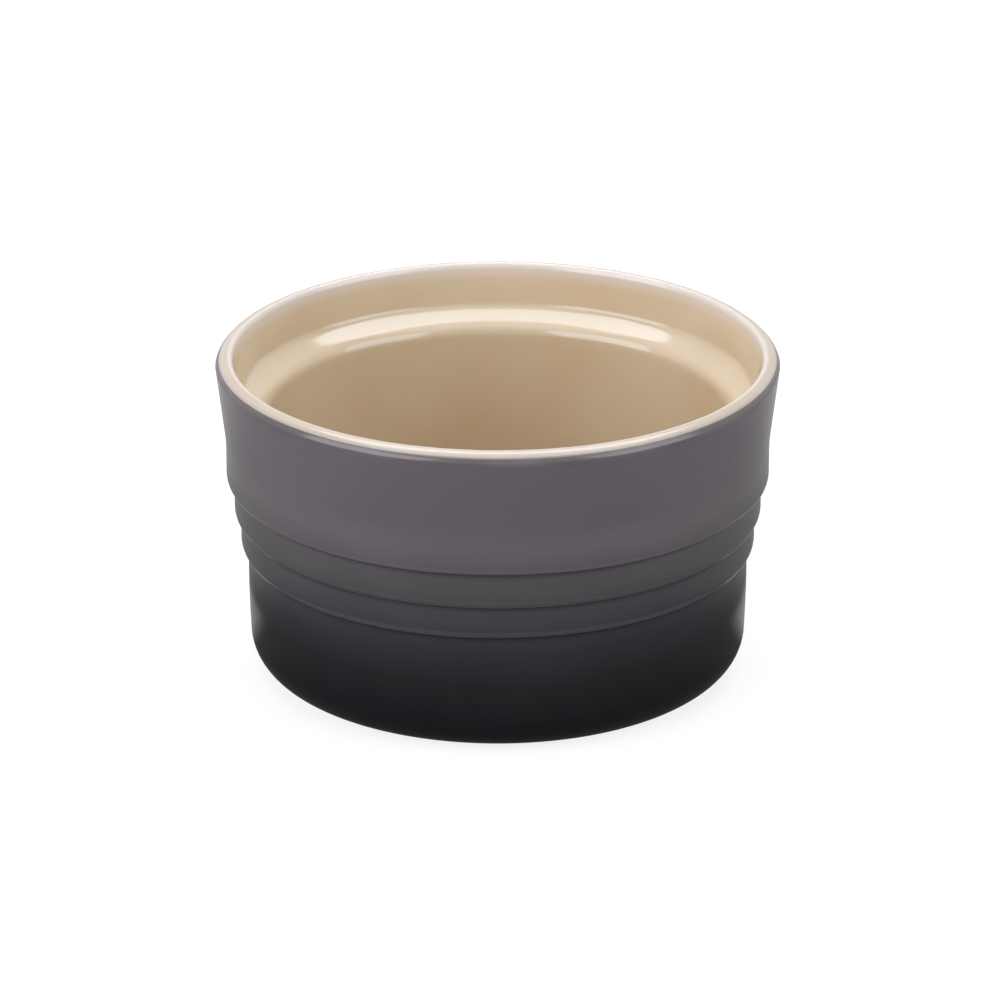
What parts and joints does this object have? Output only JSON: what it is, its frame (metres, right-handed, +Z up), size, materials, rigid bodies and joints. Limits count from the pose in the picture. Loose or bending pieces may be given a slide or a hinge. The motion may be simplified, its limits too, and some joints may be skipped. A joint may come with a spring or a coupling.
{
  "type": "ramekin",
  "caption": "Round stacking ramekin in glazed stoneware: a flared band over two stepped rings and a straight wall, with a collar and a ledge inside that seat the pot above.",
  "frame": {"origin": "on the pot's axis, in the plane that the foot ring stands on", "axes": "+Z up along the axis of the pot; X and Y are any two directions square to it, as the pot is round"},
  "size_m": [0.09, 0.09, 0.0525],
  "materials": {
    "stoneware_clay": "matt bare fired clay",
    "grey_glaze": "satin",
    "cream_glaze": "gloss"
  },
  "bodies": {
    "root": {"stoneware_body": "stoneware_clay", "outer_glaze": "grey_glaze", "inner_glaze": "cream_glaze", "base_glaze": "grey_glaze"}
  },
  "joints": []
}
